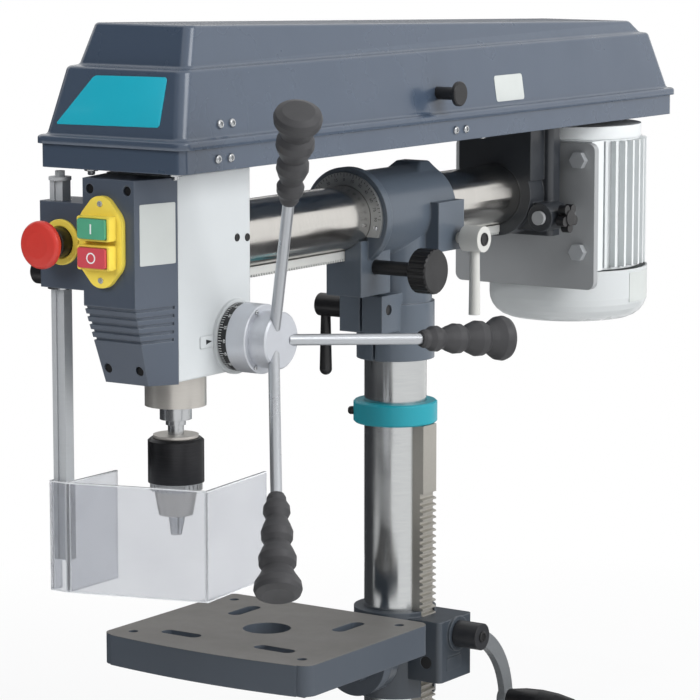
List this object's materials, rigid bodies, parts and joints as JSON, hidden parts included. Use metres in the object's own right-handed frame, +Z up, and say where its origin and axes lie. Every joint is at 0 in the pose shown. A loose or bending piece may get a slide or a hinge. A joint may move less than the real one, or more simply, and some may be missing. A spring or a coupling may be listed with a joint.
{
  "type": "radial arm drill",
  "caption": "Radial drilling machine: column stand with a lifting, tilting table and a sliding, tilting ram that carries a belt-driven drill head and motor.",
  "frame": {"origin": "floor level on the column's axis", "axes": "+Z up, the drill head points to -Y, the feed handles are on +X"},
  "size_m": [0.3125, 0.888, 0.8673],
  "materials": {
    "slate_paint": "semi-gloss slate grey enamel on castings and sheet",
    "dark_cover": "fine-grained dark grey moulding",
    "dark_paint": "satin charcoal enamel",
    "pale_paint": "satin pale grey enamel",
    "ground_steel": "ground steel, turned finish",
    "bright_steel": "bright plated steel",
    "black_plastic": "black moulded plastic",
    "black_steel": "blackened steel",
    "silver_metal": "satin aluminium",
    "pulley_metal": "turned aluminium",
    "teal_paint": "satin teal enamel",
    "yellow_plastic": "yellow moulded plastic",
    "red_plastic": "red moulded plastic",
    "green_plastic": "green moulded plastic",
    "belt_rubber": "black belt rubber",
    "crank_iron": "grey cast crank",
    "motor_paint": "pale grey painted die casting",
    "clear_plastic": "clear sheet"
  },
  "bodies": {
    "stand": {"base": "slate_paint", "column_flange": "slate_paint", "stand_screws": "ground_steel", "column": "ground_steel", "rack_collar": "teal_paint"},
    "lift_rack": {"column_rack": "ground_steel"},
    "bracket": {"table_bracket": "slate_paint", "tilt_bolt": "ground_steel"},
    "bracket_clamp": {"bracket_lever": "black_plastic"},
    "lift_gear": {"lift_gear": "ground_steel"},
    "crank": {"worm_shaft": "ground_steel", "crank_arm": "crank_iron"},
    "crank_grip": {"crank_grip": "black_plastic"},
    "table": {"work_table": "slate_paint"},
    "support": {"arm_support": "slate_paint", "angle_scale": "silver_metal"},
    "swivel_clamp": {"swivel_lever": "black_plastic"},
    "arm_lock": {"arm_lock_lever": "bright_steel"},
    "arm_rack": {"arm_rack": "bright_steel"},
    "extend": {"extend_pinion": "ground_steel", "extend_knob": "black_plastic"},
    "ram": {"ram_tube": "ground_steel", "head_casting": "pale_paint", "front_cover": "dark_cover", "cover_screws": "black_steel", "switch_plate": "yellow_plastic", "estop_base": "yellow_plastic", "belt_pan": "slate_paint", "motor_bracket": "dark_paint", "drive_belt": "belt_rubber", "spring_housing": "dark_paint", "lid_pins": "ground_steel"},
    "start": {"start_button": "green_plastic"},
    "stop": {"stop_button": "red_plastic"},
    "estop": {"estop_head": "red_plastic"},
    "quill": {"quill": "ground_steel"},
    "spindle": {"spindle": "ground_steel", "chuck_body": "crank_iron"},
    "chuck_sleeve": {"chuck_sleeve": "black_steel"},
    "jaw_1": {"jaw_1": "ground_steel"},
    "jaw_2": {"jaw_2": "ground_steel"},
    "jaw_3": {"jaw_3": "ground_steel"},
    "feed": {"feed_hub": "silver_metal", "feed_pinion": "ground_steel", "feed_spokes": "bright_steel", "feed_grips": "black_plastic"},
    "depth_ring": {"depth_ring": "black_steel"},
    "pulley": {"spindle_pulley": "pulley_metal"},
    "motor": {"motor_plate": "silver_metal", "plate_bolts": "bright_steel", "motor_body": "motor_paint", "motor_cowl": "motor_paint"},
    "motor_pulley": {"motor_pulley": "pulley_metal"},
    "wing": {"wing_bolt": "black_plastic"},
    "lid": {"belt_lid": "slate_paint", "lid_knob": "black_plastic"},
    "guard_collar": {"guard_collar": "black_plastic"},
    "guard": {"guard_bar": "silver_metal", "guard_shield": "clear_plastic"},
    "guard_clamp": {"guard_knob": "black_plastic"}
  },
  "joints": [
    {"name": "table_swing", "type": "hinge", "parent": "stand", "child": "lift_rack", "pos_m": [0, 0, 0.25], "axis": [0, 0, 1], "range_deg": [-90, 90]},
    {"name": "table_height", "type": "slide", "parent": "lift_rack", "child": "bracket", "axis": [0, 0, 1], "range_m": [-0.09, 0.045]},
    {"name": "bracket_lever_turn", "type": "hinge", "parent": "bracket", "child": "bracket_clamp", "pos_m": [-0.03, 0.054, 0.243], "axis": [1, 0, 0], "range_deg": [-40, 40]},
    {"name": "lift_gear_turn", "type": "hinge", "parent": "bracket", "child": "lift_gear", "pos_m": [0.0522, 0, 0.244], "axis": [0, 1, 0], "range_deg": [-190, 415]},
    {"name": "crank_turn", "type": "hinge", "parent": "bracket", "child": "crank", "pos_m": [0.08, 0.004, 0.2697], "axis": [1, 0, 0], "range_deg": [-1450, 660]},
    {"name": "crank_grip_spin", "type": "hinge", "parent": "crank", "child": "crank_grip", "pos_m": [0.13, 0.0557, 0.1985], "axis": [1, 0, 0], "continuous": true},
    {"name": "table_tilt", "type": "hinge", "parent": "bracket", "child": "table", "pos_m": [0, -0.066, 0.25], "axis": [0, 1, 0], "range_deg": [-45, 45]},
    {"name": "arm_swivel", "type": "hinge", "parent": "stand", "child": "support", "pos_m": [0, 0, 0.6], "axis": [0, 0, 1], "range_deg": [-180, 180]},
    {"name": "swivel_lever_turn", "type": "hinge", "parent": "support", "child": "swivel_clamp", "pos_m": [-0.03, -0.048, 0.586], "axis": [1, 0, 0], "range_deg": [-40, 40]},
    {"name": "arm_lock_turn", "type": "hinge", "parent": "support", "child": "arm_lock", "pos_m": [0.06, 0.033, 0.649], "axis": [1, 0, 0], "range_deg": [-70, 0]},
    {"name": "arm_extend", "type": "slide", "parent": "support", "child": "arm_rack", "axis": [0, -1, 0], "range_m": [-0.185, 0.125]},
    {"name": "extend_turn", "type": "hinge", "parent": "support", "child": "extend", "pos_m": [0.08, -0.072, 0.6295], "axis": [1, 0, 0], "range_deg": [-1420, 960]},
    {"name": "head_tilt", "type": "hinge", "parent": "arm_rack", "child": "ram", "pos_m": [0, 0, 0.676], "axis": [0, 1, 0], "range_deg": [-45, 45]},
    {"name": "quill_feed", "type": "slide", "parent": "ram", "child": "quill", "axis": [0, 0, -1], "range_m": [0, 0.075], "stiffness_N_per_m": 300, "springref_m": -0.22},
    {"name": "feed_turn", "type": "hinge", "parent": "ram", "child": "feed", "pos_m": [0.06, -0.3127, 0.594], "axis": [1, 0, 0], "range_deg": [0, 360]},
    {"name": "depth_set", "type": "hinge", "parent": "ram", "child": "depth_ring", "pos_m": [0.045, -0.3127, 0.594], "axis": [1, 0, 0], "range_deg": [-150, 150]},
    {"name": "pulley_spin", "type": "hinge", "parent": "ram", "child": "pulley", "pos_m": [0, -0.349, 0.78], "axis": [0, 0, 1], "continuous": true},
    {"name": "spindle_spin", "type": "hinge", "parent": "quill", "child": "spindle", "pos_m": [0, -0.349, 0.6], "axis": [0, 0, 1], "continuous": true},
    {"name": "motor_spin", "type": "hinge", "parent": "motor", "child": "motor_pulley", "pos_m": [0, 0.3283, 0.78], "axis": [0, 0, 1], "continuous": true},
    {"name": "chuck_turn", "type": "hinge", "parent": "spindle", "child": "chuck_sleeve", "pos_m": [0, -0.349, 0.48], "axis": [0, 0, 1], "range_deg": [0, 720]},
    {"name": "jaw_1_slide", "type": "slide", "parent": "spindle", "child": "jaw_1", "axis": [0, -0.1908, 0.9816], "range_m": [0, 0.0121]},
    {"name": "jaw_2_slide", "type": "slide", "parent": "spindle", "child": "jaw_2", "axis": [0.1652, 0.0954, 0.9816], "range_m": [0, 0.0121]},
    {"name": "jaw_3_slide", "type": "slide", "parent": "spindle", "child": "jaw_3", "axis": [-0.1652, 0.0954, 0.9816], "range_m": [0, 0.0121]},
    {"name": "motor_slide", "type": "slide", "parent": "ram", "child": "motor", "axis": [0, 1, 0], "range_m": [-0.009, 0]},
    {"name": "wing_turn", "type": "hinge", "parent": "ram", "child": "wing", "pos_m": [0.07, 0.197, 0.655], "axis": [1, 0, 0], "range_deg": [-170, 170]},
    {"name": "lid_open", "type": "hinge", "parent": "ram", "child": "lid", "pos_m": [-0.0845, 0, 0.7661], "axis": [0, -1, 0], "range_deg": [0, 100]},
    {"name": "start_press", "type": "slide", "parent": "ram", "child": "start", "axis": [0, 1, 0], "range_m": [0, 0.003], "stiffness_N_per_m": 600, "springref_m": -0.003},
    {"name": "stop_press", "type": "slide", "parent": "ram", "child": "stop", "axis": [0, 1, 0], "range_m": [0, 0.003], "stiffness_N_per_m": 600, "springref_m": -0.003},
    {"name": "estop_press", "type": "slide", "parent": "ram", "child": "estop", "axis": [0, 1, 0], "range_m": [0, 0.003], "stiffness_N_per_m": 900, "springref_m": -0.003},
    {"name": "guard_swing", "type": "hinge", "parent": "ram", "child": "guard_collar", "pos_m": [-0.0645, -0.4245, 0.676], "axis": [0, 0, 1], "range_deg": [-100, 0]},
    {"name": "guard_height", "type": "slide", "parent": "guard_collar", "child": "guard", "axis": [0, 0, 1], "range_m": [-0.016, 0.003]},
    {"name": "guard_knob_turn", "type": "hinge", "parent": "ram", "child": "guard_clamp", "pos_m": [-0.085, -0.4245, 0.654], "axis": [1, 0, 0], "range_deg": [-170, 170]}
  ],
  "couplings": [
    {"joint": "lift_gear_turn", "follows": "table_height", "rad_per_m": -71.429},
    {"joint": "crank_turn", "follows": "table_height", "rad_per_m": 250},
    {"joint": "extend_turn", "follows": "arm_extend", "rad_per_m": 133.33},
    {"joint": "feed_turn", "follows": "quill_feed", "rad_per_m": 83.333},
    {"joint": "spindle_spin", "follows": "pulley_spin", "ratio": 1},
    {"joint": "motor_spin", "follows": "pulley_spin", "ratio": 1},
    {"joint": "jaw_1_slide", "follows": "chuck_turn", "m_per_rad": 0.00095493},
    {"joint": "jaw_2_slide", "follows": "chuck_turn", "m_per_rad": 0.00095493},
    {"joint": "jaw_3_slide", "follows": "chuck_turn", "m_per_rad": 0.00095493}
  ]
}
